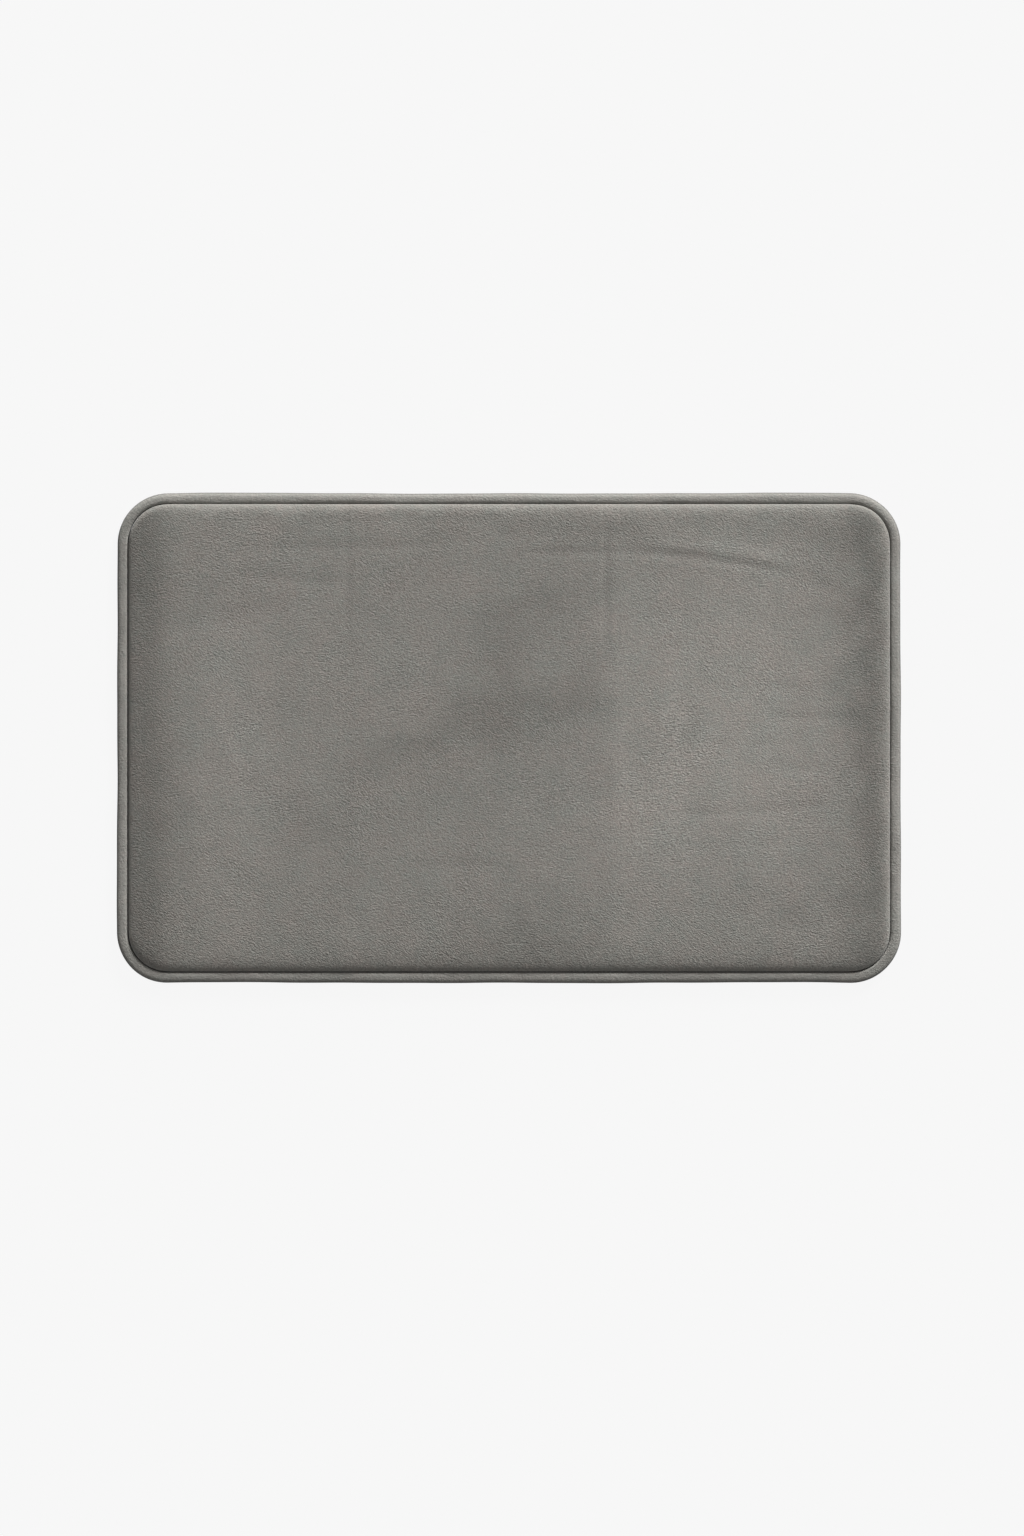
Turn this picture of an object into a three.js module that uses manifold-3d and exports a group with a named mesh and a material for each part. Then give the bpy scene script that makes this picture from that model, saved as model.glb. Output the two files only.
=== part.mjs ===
// A memory-foam bath mat, 800 x 500 mm, lying flat on the floor with its plush side up.
// A plush cover backed with a thin sponge ply is drawn over a foam core. Its edge is sewn in a ditch to
// the base cloth, with the tape of a wide plush piping caught between the two. The underside has a
// non-slip coat. Millimetres, +X along the mat, +Y across it, +Z up, the floor at Z = 0.
import * as THREE from "three";
import { mergeVertices } from "three/addons/utils/BufferGeometryUtils.js";
import Module from "manifold-3d";

const wasm = await Module();
wasm.setup();

// Overall size. Every inset below is measured inwards from this outline.
const matLength = 800;
const matWidth = 500;
const matHeight = 16.4;
const cornerRadius = 52;

// Cloths and fillings, and the clearance kept between two of them.
const gripHeight = 0.7;
const baseThickness = 0.8;
const plushThickness = 2.4;
const plyThickness = 2.5;
const clearance = 0.3;

// Piping around the edge: a plush tube with a cord in it and a tape that is sewn into the seam.
const pipingWidth = 11;
const pipingBottom = 0.2;
const pipingTop = 10.2;
const pipingWall = 1.8;
const pipingFlat = 0.6;
const tapeThickness = 1.5;
const tapeOverlap = 1.4;
const tapeEnd = 16.5;
const slitHeight = 0.3;
const slitStart = 7.4;

// The seam: cloth edges that end inside the mat, and a thread on each side of them.
const threadInset = 11.6;
const threadWidth = 0.8;
const threadHeight = 0.5;
const baseEdge = 10.4;
const gripEdge = 14;
const lipThickness = 1.2;
const lipStart = pipingWidth + clearance;
const lipEnd = 16.2;

// The padded panel inside the piping, whose top edge is rounded over this width.
const panelInset = 12.9;
const panelWallTop = 10.4;
const panelRounding = 26;

// Care label on the underside, near one corner.
const labelWidth = 30;
const labelLength = 46;
const labelThickness = 0.4;
const labelInset = 12.9;
const labelCentreX = -300;
const labelGap = 1.5;

// Heights of the layers in the seam.
const baseTop = gripHeight + baseThickness;
const tapeBottom = baseTop + clearance;
const tapeTop = tapeBottom + tapeThickness;
const lipBottom = tapeTop + clearance;
const lipTop = lipBottom + lipThickness;

// Facets in a quarter of a corner, halved, and from the side of a rounded edge to its top.
const cornerSegments = 4;
const pipingSegments = 4;
const panelSegments = 6;

// How far a cutting solid runs past the piece that it cuts.
const overrun = 1;

const plush = new THREE.MeshStandardMaterial({ color: "#7b7974", roughness: 0.95, metalness: 0 });
const sponge = new THREE.MeshStandardMaterial({ color: "#d8d6cf", roughness: 0.9, metalness: 0 });
const memoryFoam = new THREE.MeshStandardMaterial({ color: "#e3dcc4", roughness: 0.9, metalness: 0 });
const baseFabric = new THREE.MeshStandardMaterial({ color: "#a9a8a4", roughness: 0.85, metalness: 0 });
const gripRubber = new THREE.MeshStandardMaterial({ color: "#c9c9c6", roughness: 0.45, metalness: 0 });
const cotton = new THREE.MeshStandardMaterial({ color: "#d9d4c8", roughness: 0.9, metalness: 0 });
const thread = new THREE.MeshStandardMaterial({ color: "#6c6a66", roughness: 0.6, metalness: 0 });
const satinTape = new THREE.MeshStandardMaterial({ color: "#e9e8e4", roughness: 0.6, metalness: 0 });

// The mat's rounded rectangle, drawn in by an inset, as a Shape or as a Path for a hole.
function outline(inset, kind = THREE.Shape) {
  const radius = cornerRadius - inset;
  const x = matLength / 2 - cornerRadius;
  const y = matWidth / 2 - cornerRadius;
  const quarter = Math.PI / 2;
  const path = new kind();
  path.absarc(x, -y, radius, -quarter, 0, false);
  path.absarc(x, y, radius, 0, quarter, false);
  path.absarc(-x, y, radius, quarter, 2 * quarter, false);
  path.absarc(-x, -y, radius, 2 * quarter, 3 * quarter, false);
  return path;
}

// The shape between two insets.
function ringOutline(outer, inner) {
  const shape = outline(outer);
  shape.holes.push(outline(inner, THREE.Path));
  return shape;
}

// A flat piece of cloth of some outline between two heights.
function flatPiece(shape, bottom, top) {
  const options = { depth: top - bottom, bevelEnabled: false, curveSegments: cornerSegments };
  return new THREE.ExtrudeGeometry(shape, options).translate(0, 0, bottom);
}

// A ring with an oval section that follows the edge, such as a tube or a cord.
function ovalRing(outer, inner, bottom, top) {
  const roundWidth = (inner - outer - pipingFlat) / 2;
  const roundHeight = (top - bottom - pipingFlat) / 2;
  const options = {
    depth: pipingFlat,
    bevelSize: roundWidth,
    bevelThickness: roundHeight,
    bevelSegments: pipingSegments,
    curveSegments: cornerSegments,
  };
  const shape = ringOutline(outer + roundWidth, inner - roundWidth);
  return new THREE.ExtrudeGeometry(shape, options).translate(0, 0, bottom + roundHeight);
}

// A pad whose side stands upright from bottom to wallTop and then rounds over to its flat top.
function pad(inset, rounding, bottom, wallTop, top) {
  const options = {
    depth: wallTop - bottom,
    bevelSize: rounding,
    bevelThickness: top - wallTop,
    bevelSegments: panelSegments,
    curveSegments: cornerSegments,
  };
  const roundedBothSides = new THREE.ExtrudeGeometry(outline(inset + rounding), options);
  const aboveBottom = flatPiece(outline(inset - overrun), bottom, top + overrun);
  return solidOf(roundedBothSides.translate(0, 0, bottom)).intersect(solidOf(aboveBottom));
}

// A closed geometry as a solid that can be cut and joined.
function solidOf(geometry) {
  const bare = geometry.clone();
  bare.deleteAttribute("normal");
  bare.deleteAttribute("uv");
  const merged = mergeVertices(bare, 1e-3);
  const vertProperties = merged.getAttribute("position").array;
  const triVerts = new Uint32Array(merged.index.array);
  return new wasm.Manifold(new wasm.Mesh({ numProp: 3, vertProperties, triVerts }));
}

// A solid as a geometry for a mesh.
function geometryOf(solid) {
  const { vertProperties, triVerts } = solid.getMesh();
  const geometry = new THREE.BufferGeometry();
  geometry.setAttribute("position", new THREE.BufferAttribute(vertProperties, 3));
  geometry.setIndex(new THREE.BufferAttribute(triVerts, 1));
  geometry.computeVertexNormals();
  return geometry;
}

function named(name, geometry, material) {
  const mesh = new THREE.Mesh(geometry, material);
  mesh.name = name;
  return mesh;
}

// The plush shell over the padding, with the turned lip that is sewn down in the ditch.
function plushCover() {
  const outside = pad(panelInset, panelRounding, lipBottom, panelWallTop, matHeight);
  const hollow = pad(
    panelInset + plushThickness,
    panelRounding - plushThickness,
    lipBottom - overrun,
    panelWallTop,
    matHeight - plushThickness,
  );
  const lip = solidOf(flatPiece(ringOutline(lipStart, lipEnd), lipBottom, lipTop));
  return named("plush_cover", geometryOf(outside.subtract(hollow).add(lip)), plush);
}

// The sponge that is bonded to the back of the plush and follows it down the sides.
function spongePly() {
  const outer = plushThickness + clearance;
  const inner = outer + plyThickness;
  const bottom = lipTop + clearance;
  const outside = pad(
    panelInset + outer,
    panelRounding - outer,
    bottom,
    panelWallTop,
    matHeight - outer,
  );
  const hollow = pad(
    panelInset + inner,
    panelRounding - inner,
    bottom - overrun,
    panelWallTop,
    matHeight - inner,
  );
  return named("sponge_ply", geometryOf(outside.subtract(hollow)), sponge);
}

// The slow-recovery foam slab, which stands on the base cloth and fills the ply.
function foamCore() {
  const step = plushThickness + plyThickness + 2 * clearance;
  const rounding = panelRounding - step;
  const slab = pad(panelInset + step, rounding, baseTop, panelWallTop, matHeight - step);
  return named("foam_core", geometryOf(slab), memoryFoam);
}

function baseCloth() {
  return named("base_cloth", flatPiece(outline(baseEdge), gripHeight, baseTop), baseFabric);
}

// The plush tube along the edge, open along a slit between the two plies of its sewing tape.
function pipingCover() {
  const tube = solidOf(ovalRing(0, pipingWidth, pipingBottom, pipingTop));
  const hollow = solidOf(
    ovalRing(pipingWall, pipingWidth - pipingWall, pipingBottom + pipingWall, pipingTop - pipingWall),
  );
  const tapeShape = ringOutline(pipingWidth - tapeOverlap, tapeEnd);
  const tape = solidOf(flatPiece(tapeShape, tapeBottom, tapeTop));
  const slitBottom = (tapeBottom + tapeTop - slitHeight) / 2;
  const slitShape = ringOutline(slitStart, tapeEnd + overrun);
  const slit = solidOf(flatPiece(slitShape, slitBottom, slitBottom + slitHeight));
  return named("piping_cover", geometryOf(tube.add(tape).subtract(hollow).subtract(slit)), plush);
}

// The filler cord that keeps the piping round.
function pipingCord() {
  const step = pipingWall + clearance;
  const cord = ovalRing(step, pipingWidth - step, pipingBottom + step, pipingTop - step);
  return named("piping_cord", cord, cotton);
}

// A thread of the lockstitch: one lies in the ditch on the plush side, one under the base cloth.
function seamThread(name, bottom) {
  const line = ringOutline(threadInset, threadInset + threadWidth);
  return named(name, flatPiece(line, bottom, bottom + threadHeight), thread);
}

// A box centred on the care label, between two heights.
function labelBox(margin, bottom, top) {
  const box = new THREE.BoxGeometry(labelWidth + 2 * margin, labelLength + 2 * margin, top - bottom);
  const centreY = -matWidth / 2 + labelInset + labelLength / 2;
  return box.translate(labelCentreX, centreY, (bottom + top) / 2);
}

// The non-slip coat, left out around the care label.
function gripCoat() {
  const coat = solidOf(flatPiece(outline(gripEdge), 0, gripHeight));
  const notch = solidOf(labelBox(labelGap, -overrun, gripHeight + overrun));
  return named("grip_coat", geometryOf(coat.subtract(notch)), gripRubber);
}

// The folded care tape, blank, lying against the base cloth.
function careLabel() {
  return named("care_label", labelBox(0, gripHeight - labelThickness, gripHeight), satinTape);
}

const mat = new THREE.Group();
mat.add(
  plushCover(),
  spongePly(),
  foamCore(),
  baseCloth(),
  gripCoat(),
  pipingCover(),
  pipingCord(),
  seamThread("ditch_thread", lipTop),
  seamThread("bobbin_thread", gripHeight - threadHeight),
  careLabel(),
);

export default mat;
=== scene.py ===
# A memory-foam bath mat on a plain pale floor, seen from straight above: a grey plush panel over foam,
# sewn down in a narrow ditch inside a rolled rim, with a dotted non-slip underside. Everything is in
# metres, in the CAD model's frame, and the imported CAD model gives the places.
import math
import random

import bpy
import numpy as np
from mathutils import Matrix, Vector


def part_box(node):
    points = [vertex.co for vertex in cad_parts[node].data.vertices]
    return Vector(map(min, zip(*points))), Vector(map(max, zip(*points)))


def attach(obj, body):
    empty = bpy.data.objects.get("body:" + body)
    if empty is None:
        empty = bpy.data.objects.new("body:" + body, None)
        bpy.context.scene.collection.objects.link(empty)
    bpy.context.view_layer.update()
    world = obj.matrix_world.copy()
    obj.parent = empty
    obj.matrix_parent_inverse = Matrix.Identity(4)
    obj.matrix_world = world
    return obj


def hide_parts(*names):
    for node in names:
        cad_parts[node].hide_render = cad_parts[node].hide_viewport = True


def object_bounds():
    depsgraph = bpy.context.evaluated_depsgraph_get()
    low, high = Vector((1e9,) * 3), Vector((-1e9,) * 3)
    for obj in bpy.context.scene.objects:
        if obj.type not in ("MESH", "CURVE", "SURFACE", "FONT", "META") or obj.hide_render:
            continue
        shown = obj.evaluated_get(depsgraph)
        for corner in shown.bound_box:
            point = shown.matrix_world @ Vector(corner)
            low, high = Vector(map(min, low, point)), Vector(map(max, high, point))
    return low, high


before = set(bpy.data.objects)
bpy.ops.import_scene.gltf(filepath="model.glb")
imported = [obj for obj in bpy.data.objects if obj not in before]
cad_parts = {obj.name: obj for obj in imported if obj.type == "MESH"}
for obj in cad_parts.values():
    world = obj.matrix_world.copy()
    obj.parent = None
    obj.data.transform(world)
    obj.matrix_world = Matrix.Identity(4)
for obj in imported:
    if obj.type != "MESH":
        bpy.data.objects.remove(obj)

CAD_LOW, CAD_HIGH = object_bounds()
MM = 0.001

# The mat's outline, which has round corners, and the places in its edge. An inset is measured inwards
# from the outline.
HALF_LENGTH = CAD_HIGH.x
HALF_WIDTH = CAD_HIGH.y
CORNER_RADIUS = 52 * MM
CENTRE_X = HALF_LENGTH - CORNER_RADIUS
CENTRE_Y = HALF_WIDTH - CORNER_RADIUS
RIM_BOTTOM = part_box("piping_cover")[0].z
# How far the rim's pile stands above the CAD solid.
PILE_RISE = 0.8 * MM
RIM_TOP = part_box("piping_cover")[1].z + PILE_RISE
RIM_MIDDLE = (RIM_BOTTOM + RIM_TOP) / 2
LIP_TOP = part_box("ditch_thread")[0].z
THREAD_INSET = HALF_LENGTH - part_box("ditch_thread")[1].x
BASE_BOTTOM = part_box("base_cloth")[0].z
BASE_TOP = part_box("base_cloth")[1].z
BASE_INSET = HALF_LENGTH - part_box("base_cloth")[1].x
GRIP_INSET = HALF_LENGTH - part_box("grip_coat")[1].x
LABEL_LOW, LABEL_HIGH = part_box("care_label")

PLUSH_THICKNESS = 1.8 * MM
STITCH_PITCH = 3.4 * MM


# -------------------- helpers for meshes

def place(name, data):
    """A new object in the scene."""
    thing = bpy.data.objects.new(name, data)
    bpy.context.scene.collection.objects.link(thing)
    return thing


def piece(name, vertices, faces):
    """A smooth-shaded mesh object in the scene."""
    mesh = bpy.data.meshes.new(name)
    mesh.from_pydata([tuple(v) for v in vertices], [], [tuple(f) for f in faces])
    mesh.polygons.foreach_set("use_smooth", [True] * len(mesh.polygons))
    mesh.update()
    return place(name, mesh)


def vertex_array(mesh):
    """The mesh's vertices as rows of x, y, z."""
    flat = np.zeros(len(mesh.vertices) * 3)
    mesh.vertices.foreach_get("co", flat)
    return flat.reshape(-1, 3)


def set_vertices(mesh, points):
    """Moves the mesh's vertices to rows of x, y, z."""
    mesh.vertices.foreach_set("co", np.asarray(points, float).ravel())
    mesh.update()


def normals_of(mesh):
    """The vertex normals as rows of x, y, z."""
    flat = np.zeros(len(mesh.vertices) * 3)
    mesh.vertex_normals.foreach_get("vector", flat)
    return flat.reshape(-1, 3)


def store(thing, name, values):
    """Keeps a number for each vertex, for the material to read."""
    layer = thing.data.attributes.new(name, "FLOAT", "POINT")
    layer.data.foreach_set("value", values)


def apply_modifiers(thing):
    """Replaces the mesh with what its modifiers make of it."""
    depsgraph = bpy.context.evaluated_depsgraph_get()
    made = bpy.data.meshes.new_from_object(thing.evaluated_get(depsgraph))
    old = thing.data
    thing.modifiers.clear()
    thing.data = made
    bpy.data.meshes.remove(old)
    made.name = thing.name


def thicken(thing, thickness):
    """Gives an open skin the thickness of its cloth, on the side away from its normals."""
    solid = thing.modifiers.new("cloth", "SOLIDIFY")
    solid.thickness = thickness
    solid.offset = -1
    apply_modifiers(thing)


def smooth_step(low, high, value):
    """0 up to low, 1 from high, and a soft rise between them."""
    t = np.clip((value - low) / (high - low), 0, 1)
    return t * t * (3 - 2 * t)


def bell(distance, spread):
    """1 at no distance, falling to nothing over a few spreads."""
    return np.exp(-0.5 * (distance / spread) ** 2)


def sweep_faces(rings, around, closed):
    """Quads between neighbouring rings of points, and from the last ring to the first if closed."""
    faces = []
    for r in range(rings if closed else rings - 1):
        here, there = r * around, (r + 1) % rings * around
        for k in range(around):
            after = (k + 1) % around
            faces.append((here + k, there + k, there + after, here + after))
    return faces


# -------------------- the outline that everything follows

def outline_walk(spacing):
    """A walk along the outline, anticlockwise: the points, the outward directions there and the
    distances walked, with the whole distance round."""
    quarter = math.pi / 2
    corners = [(1, 1), (-1, 1), (-1, -1), (1, -1)]
    arc = quarter * CORNER_RADIUS
    arc_steps = round(arc / spacing)
    points, outward, walked = [], [], []
    travelled = 0.0
    for side, (sign_x, sign_y) in enumerate(corners):
        angle = side * quarter
        corner = np.array([sign_x * CENTRE_X, sign_y * CENTRE_Y])
        facing = np.array([math.cos(angle), math.sin(angle)])
        along = np.array([-math.sin(angle), math.cos(angle)])
        length = 2 * (CENTRE_Y if side % 2 == 0 else CENTRE_X)
        steps = round(length / spacing)
        for k in range(steps):
            points.append(corner + facing * CORNER_RADIUS - along * length * (1 - k / steps))
            outward.append(facing)
            walked.append(travelled + length * k / steps)
        travelled += length
        for k in range(arc_steps):
            turn = angle + quarter * k / arc_steps
            facing = np.array([math.cos(turn), math.sin(turn)])
            points.append(corner + facing * CORNER_RADIUS)
            outward.append(facing)
            walked.append(travelled + arc * k / arc_steps)
        travelled += arc
    return np.array(points), np.array(outward), np.array(walked), travelled


def waves(walked, around, terms):
    """A gentle change along the edge: waves, each with its height, its number of turns round the mat and
    its phase."""
    turn = 2 * math.pi * walked / around
    return sum(height * np.sin(count * turn + phase) for height, count, phase in terms)


def edge_inset(points):
    """How far in from the mat's outline each point lies."""
    beyond = np.abs(points[:, :2]) - [CENTRE_X, CENTRE_Y]
    outside = np.linalg.norm(np.maximum(beyond, 0), axis=1) + np.minimum(beyond.max(axis=1), 0)
    return CORNER_RADIUS - outside


def rounded_grid(section, spacing):
    """A grid of four-sided faces over the mat. Its outer rows follow a section, a list of insets and
    heights in millimetres from the edge inwards to the centre of the corner arcs, and fan out round the
    corners, so that every row is parallel to the edge."""
    section = np.array(section) * MM
    steps = np.linalg.norm(np.diff(section, axis=0), axis=1)
    reach = np.append(np.cumsum(steps[::-1])[::-1], 0)
    last = len(section) - 1

    def line(half):
        """The grid's lines from one side to the other: side, row of the section, place between."""
        middle = round(2 * half / spacing)
        lines = [(-1, k, 0) for k in range(last)]
        lines += [(0, last, -1 + 2 * k / middle) for k in range(middle + 1)]
        return lines + [(1, k, 0) for k in reversed(range(last))]

    columns, rows = line(CENTRE_X), line(CENTRE_Y)
    vertices = []
    for side_y, row_y, v in rows:
        for side_x, row_x, u in columns:
            inset, height = section[min(row_x, row_y)]
            radius = CORNER_RADIUS - inset
            if side_x and side_y:
                angle = math.atan2(reach[row_y], reach[row_x])
                x = side_x * (CENTRE_X + radius * math.cos(angle))
                y = side_y * (CENTRE_Y + radius * math.sin(angle))
            else:
                x = side_x * (CENTRE_X + radius) if side_x else u * CENTRE_X
                y = side_y * (CENTRE_Y + radius) if side_y else v * CENTRE_Y
            vertices.append((x, y, height))
    across = len(columns)
    faces = [
        (r * across + c, r * across + c + 1, (r + 1) * across + c + 1, (r + 1) * across + c)
        for r in range(len(rows) - 1)
        for c in range(across - 1)
    ]
    return vertices, faces


# -------------------- the plush panel

# The cover's section, from the edge of its lip in the ditch, up the side and over the shoulder.
COVER_SECTION = [
    (11.4, 4.8), (12.1, 4.75), (12.8, 5.1), (12.5, 6.2), (12.0, 7.4), (11.7, 8.8), (11.8, 10.2),
    (12.4, 11.6), (13.6, 12.85), (15.6, 14.0), (18.4, 14.9), (21.8, 15.47), (26.0, 15.87), (31.0, 16.14),
    (37.0, 16.3), (44.0, 16.4), (52.0, 16.4),
]
PANEL_SPACING = 7 * MM
# The panel lies a little off the middle of its rim.
PANEL_STRAY = 0.25 * MM

# How the cover settles: for how many frames, how much too large it is cut, how far it may move, how far
# the foam lies under it, the gap that the cloth keeps from the foam, and the heights between which it
# goes from held by the seam to free.
SETTLE_FRAMES = 18
CUT_TOO_LARGE = 0.0022
SETTLE_LIMIT = 0.9 * MM
BED_DEPTH = 1.2 * MM
CLOTH_GAP = 0.6 * MM
HELD_TO, FREE_FROM = 8 * MM, 11 * MM
# The middle of the panel lies stiller than its border: the share of its movement that it loses, and the
# insets over which it does.
STILLER_SHARE = 0.8
STILLER_INSETS = (30 * MM, 80 * MM)
# How near its top a point counts as part of the panel's flat top, how often the movement is smoothed,
# and a distance too short to count.
TOP_BAND = 0.1 * MM
SMOOTHING_PASSES = 2
NO_DISTANCE = 1e-6 * MM
CLOTH = {
    "quality": 5,
    "mass": 0.05,
    "tension_stiffness": 12,
    "compression_stiffness": 12,
    "shear_stiffness": 4,
    "bending_stiffness": 4,
    "shrink_min": -CUT_TOO_LARGE,
}
BED_FRICTION = 8
PULL_OF_GRAVITY = 0.6

# Fold lines and wrinkles in the plush, in millimetres: where each starts and ends, how far its middle
# bows sideways, how deep and how wide it is (a ridge has a depth below 0), and how much shade is painted
# along it (below 0, a painted highlight).
CREASES = [
    # the fold across the mat from its packing
    ((100, 242), (100, 66), 0, 0.36, 2.6, 0.13),
    ((101, 90), (102, -130), 1, 0.18, 3.5, 0.03),
    # a fainter fold nearer the other end
    ((-164, 238), (-161, 76), 0, 0.18, 3.0, 0.075),
    ((-161, 90), (-164, -180), 0, 0.06, 4.0, 0.015),
    # the long curved wrinkle: a valley that turns into a ridge
    ((-10, 188), (235, 187), 3, 0.34, 2.8, 0.13),
    ((145, 192), (298, 175), 5, -0.52, 4.5, -0.04),
    ((130, 188), (294, 166), 5, 0.38, 3.0, 0.16),
    ((285, 172), (384, 120), 4, 0.18, 5.0, 0.05),
    # short level wrinkles near the far edge
    ((-300, 197), (-50, 198), -2, 0.22, 3.5, 0.06),
    ((-285, 170), (-160, 160), -3, 0.26, 4.0, 0.07),
    ((-385, 112), (-215, 137), 2, 0.20, 9.0, 0.06),
    ((-230, 222), (60, 224), 1, 0.14, 4.0, 0.04),
    ((-30, 206), (120, 208), 1, 0.10, 3.5, 0.03),
    # level wrinkles in the lighter end
    ((255, 22), (365, 20), 1, 0.28, 3.8, 0.09),
    ((265, -30), (345, -33), 1, 0.24, 4.0, 0.07),
    ((150, -78), (345, -66), -2, 0.26, 3.4, 0.075),
    ((180, 52), (340, 50), 1, 0.12, 4.0, 0.03),
    ((190, -8), (300, -6), 1, 0.12, 3.6, 0.03),
    ((170, -112), (330, -106), 1, 0.10, 4.0, 0.03),
    ((200, 118), (350, 126), 1, 0.12, 4.5, 0.035),
    # and low down
    ((-110, -128), (5, -131), 1, 0.20, 4.0, 0.06),
]

# Patches where the pile has been brushed one way or the other, in millimetres: the centre, the spread
# along and across, the turn in degrees, and how much lighter or darker the pile looks.
BRUSHED = [
    # the lighter end, with its bands
    (142, 10, 32, 118, 0, 0.16),
    (250, 4, 60, 106, 0, 0.26),
    (114, 20, 11, 96, 0, 0.07),
    (146, 25, 10, 55, 0, -0.07),
    (166, 0, 8, 110, 0, 0.05),
    (183, 18, 8, 12, 0, -0.08),
    (240, 190, 52, 9, -6, 0.08),
    (215, 112, 62, 46, 0, 0.07),
    (112, -84, 52, 34, 0, 0.06),
    # the dark sweep across the middle
    (-122, -20, 36, 11, 25, -0.09),
    (-64, 8, 36, 13, 28, -0.12),
    (2, 22, 32, 17, 10, -0.09),
    (40, 34, 36, 14, 20, -0.10),
    (84, 50, 20, 18, 20, -0.06),
    (-82, 38, 15, 8, 20, -0.06),
    (-4, 104, 20, 34, 0, -0.09),
    (28, 138, 42, 14, 16, -0.08),
    (46, 122, 14, 22, 0, -0.05),
    (-16, 60, 22, 34, 0, -0.07),
    (6, -40, 60, 30, 10, -0.05),
    # patches near the edges
    (-338, -70, 22, 80, 0, -0.09),
    (-282, -60, 24, 130, 0, 0.08),
    (-300, 96, 44, 34, 0, 0.05),
    (-192, -84, 24, 15, 0, -0.09),
    (-330, 150, 60, 12, 0, -0.06),
    (18, -188, 30, 26, 0, -0.13),
    (24, -214, 60, 16, 0, -0.12),
    (288, -175, 20, 9, 0, -0.13),
    (200, -160, 60, 10, 0, -0.05),
    (366, -10, 15, 400, 0, -0.29),
    (352, 190, 34, 30, -40, -0.08),
    (0, 223, 330, 9, 0, -0.12),
    (-240, -190, 120, 50, 0, -0.07),
    (270, -200, 120, 40, 0, -0.02),
    (-300, 180, 80, 40, 0, -0.03),
    (305, 168, 56, 26, 0, 0.06),
]
# A band of painted shade along the end at -X, the end away from the lamps: how far from the middle, its
# spread and how much darker it makes the pile.
SHADED_END_BAND = (370, 16, 0.28)

# The share of a crease over which each end fades out, and the width of its painted shade as a share of
# its own width. Beside it goes a painted highlight: by what share of the shade, and how many spreads
# aside.
CREASE_FADE = 0.2
CREASE_SHADE_WIDTH = 0.8
BESIDE_HIGHLIGHT = 0.3
BESIDE_SPREADS = 2

# The waves that make the edges of the brushed patches ragged.
RAGGED_SEED = 11
RAGGED_WAVES = 14
RAGGED_LENGTHS = (16, 90)
RAGGED_HEIGHT = 0.035

# How far from the edge the creases start and the brushed patches start, the heights below which shade is
# painted on the pile in the ditch, and how much.
CREASE_EDGE = (14 * MM, 24 * MM)
BRUSHED_EDGE = (12 * MM, 18 * MM)
DITCH_HEIGHTS = (9 * MM, 10.5 * MM)
PANEL_DITCH_SHADE = 0.45


def crease_line(x, y, start, end, bow, spread):
    """How near each point lies to a bowed line, from 1 on it to 0, fading out towards its ends."""
    start, end = np.array(start, float), np.array(end, float)
    length = np.linalg.norm(end - start)
    along = (end - start) / length
    t = ((x - start[0]) * along[0] + (y - start[1]) * along[1]) / length
    aside = (y - start[1]) * along[0] - (x - start[0]) * along[1]
    fade = smooth_step(0, CREASE_FADE, t) * smooth_step(0, CREASE_FADE, 1 - t)
    return bell(aside - bow * 4 * t * (1 - t), spread) * fade


def ragged(x, y):
    """The same places moved about by up to a centimetre or so, so that a brushed patch has an uneven
    edge."""
    source = random.Random(RAGGED_SEED)
    moved = []
    for values in (x, y):
        shift = np.zeros(len(x))
        for _ in range(RAGGED_WAVES):
            direction = source.uniform(0, math.pi)
            length = source.uniform(*RAGGED_LENGTHS)
            phase = source.uniform(0, 2 * math.pi)
            travel = x * math.cos(direction) + y * math.sin(direction)
            shift += RAGGED_HEIGHT * length * np.sin(2 * math.pi * travel / length + phase)
        moved.append(values + shift)
    return moved


def pile_of(points):
    """For each point of the panel, how deep the creases press it in and how light its pile looks, with
    painted shade and highlights along the creases and painted shade along the end at -X.
    """
    x, y = points[:, 0] / MM, points[:, 1] / MM
    depth = np.zeros(len(x))
    light = np.zeros(len(x))
    ragged_x, ragged_y = ragged(x, y)
    for start, end, bow, deep, spread, darker in CREASES:
        near = crease_line(x, y, start, end, bow, spread)
        depth += deep * MM * near
        # Painted shade along the crease, and a painted highlight beside it.
        light -= darker * crease_line(x, y, start, end, bow, CREASE_SHADE_WIDTH * spread)
        beside = crease_line(x, y, start, end, bow - BESIDE_SPREADS * spread, spread)
        light += BESIDE_HIGHLIGHT * darker * beside
    for centre_x, centre_y, long, wide, turn, gain in BRUSHED:
        c, s = math.cos(math.radians(turn)), math.sin(math.radians(turn))
        along = (ragged_x - centre_x) * c + (ragged_y - centre_y) * s
        aside = (ragged_y - centre_y) * c - (ragged_x - centre_x) * s
        light += gain * bell(np.hypot(along / long, aside / wide), 1)
    # Painted shade along the end at -X, which faces away from the lamps.
    middle, spread, darker = SHADED_END_BAND
    light -= darker * bell(x + middle, spread)
    return depth, light


def smoothed(mesh, values):
    """Each vertex's value averaged with its neighbours'."""
    ends = np.zeros(len(mesh.edges) * 2, int)
    mesh.edges.foreach_get("vertices", ends)
    first, second = ends.reshape(-1, 2).T
    total, count = values.copy(), np.ones(len(values))
    for here, there in ((first, second), (second, first)):
        np.add.at(total, here, values[there])
        np.add.at(count, here, 1)
    return total / count[:, None]


def settling_bed(cover):
    """The foam that the cover settles on, a little under it."""
    bed = place("settling_bed", cover.data.copy())
    set_vertices(bed.data, vertex_array(bed.data) - normals_of(cover.data) * BED_DEPTH)
    bed.modifiers.new("bed", "COLLISION")
    bed.collision.thickness_outer = CLOTH_GAP
    bed.collision.cloth_friction = BED_FRICTION
    return bed


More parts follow.
